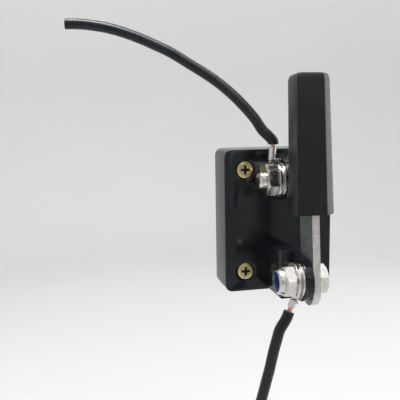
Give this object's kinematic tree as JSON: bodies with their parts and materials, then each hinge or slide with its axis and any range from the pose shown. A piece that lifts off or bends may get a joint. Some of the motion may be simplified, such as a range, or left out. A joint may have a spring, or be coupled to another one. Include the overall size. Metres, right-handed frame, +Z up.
{
  "type": "knife isolating switch",
  "caption": "Post-mounted electric-fence isolating knife switch with a hooded steel blade, two bolt terminals and two cable leads.",
  "frame": {"origin": "middle of the base's flat back face, where it lies on the post", "axes": "+X along the two terminal bolts from the nuts towards the bolt heads, +Y from the switch into the post, +Z up the post"},
  "size_m": [0.157, 0.0996, 0.3007],
  "materials": {
    "black_plastic": "gloss",
    "hood_plastic": "satin",
    "bright_zinc": "bright zinc plate",
    "yellow_zinc": "yellow zinc plate",
    "blade_steel": "dull galvanised",
    "blue_nylon": "satin",
    "tinned_copper": "bright",
    "copper_strand": "bare strands",
    "cable_jacket": "semi gloss"
  },
  "bodies": {
    "base": {"base_moulding": "black_plastic", "terminal_ear": "black_plastic", "pivot_ear_block": "black_plastic", "mounting_screw_upper": "yellow_zinc", "mounting_screw_lower": "yellow_zinc", "pivot_bolt": "bright_zinc", "pivot_washer_inner": "bright_zinc", "pivot_ring_lug": "tinned_copper", "pivot_washer_outer": "bright_zinc", "pivot_nyloc_nut": "bright_zinc", "pivot_nyloc_insert": "blue_nylon", "pivot_conductor": "copper_strand", "pivot_lead": "cable_jacket", "terminal_bolt": "bright_zinc", "terminal_contact_washer": "bright_zinc", "terminal_spring_washer": "bright_zinc", "terminal_washer_inner": "bright_zinc", "terminal_ring_lug": "tinned_copper", "terminal_washer_outer": "bright_zinc", "terminal_nut": "bright_zinc", "terminal_conductor": "copper_strand", "terminal_lead": "cable_jacket"},
    "lever": {"blade": "blade_steel", "handle_hood": "hood_plastic", "handle_screw_lower": "bright_zinc", "handle_screw_upper": "bright_zinc"}
  },
  "joints": [
    {"name": "blade_hinge", "type": "hinge", "parent": "base", "child": "lever", "pos_m": [0.0038, -0.066, -0.0264], "axis": [1, 0, 0], "range_deg": [0, 160]}
  ]
}
